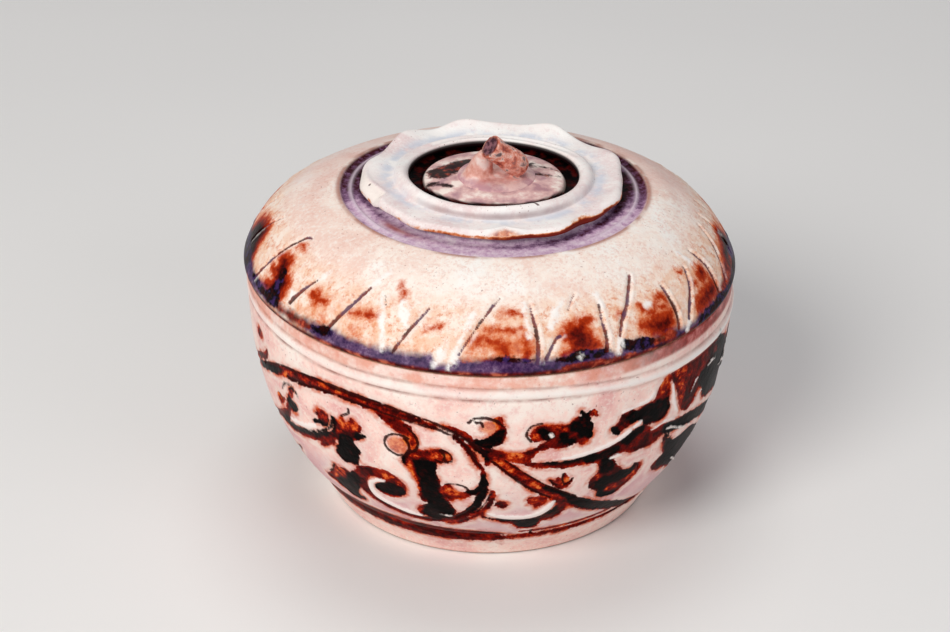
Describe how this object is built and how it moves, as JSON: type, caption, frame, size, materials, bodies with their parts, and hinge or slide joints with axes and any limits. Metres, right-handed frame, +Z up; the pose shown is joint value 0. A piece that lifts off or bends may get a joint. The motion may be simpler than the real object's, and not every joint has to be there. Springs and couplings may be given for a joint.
{
  "type": "lidded jar",
  "caption": "Bowl-shaped glazed stoneware jar on a low foot, with a domed lift-off lid that carries a pinched calyx collar and a twig-like stem knob.",
  "frame": {"origin": "middle of the circle that the foot stands on, on the ground", "axes": "+Z up along the turning axis; -Y towards the viewer of the picture; +X to the viewer's right"},
  "size_m": [0.15, 0.15, 0.1166],
  "materials": {
    "jar_glaze": "glossy cream glaze over incised and iron-brown painted vine scroll",
    "lid_glaze": "glossy cream glaze over incised petals, iron-brown blotches and a dark edge",
    "crown_glaze": "glossy bluish-white glaze",
    "iron_glaze": "glossy orange-brown glaze with dark spots"
  },
  "bodies": {
    "jar": {"jar_body": "jar_glaze"},
    "lid": {"lid_dome": "lid_glaze", "calyx_collar": "crown_glaze", "stem_knob": "iron_glaze"}
  },
  "joints": [
    {"name": "lid_lift", "type": "slide", "parent": "jar", "child": "lid", "axis": [0, 0, 1], "range_m": [0, 0.12]}
  ]
}
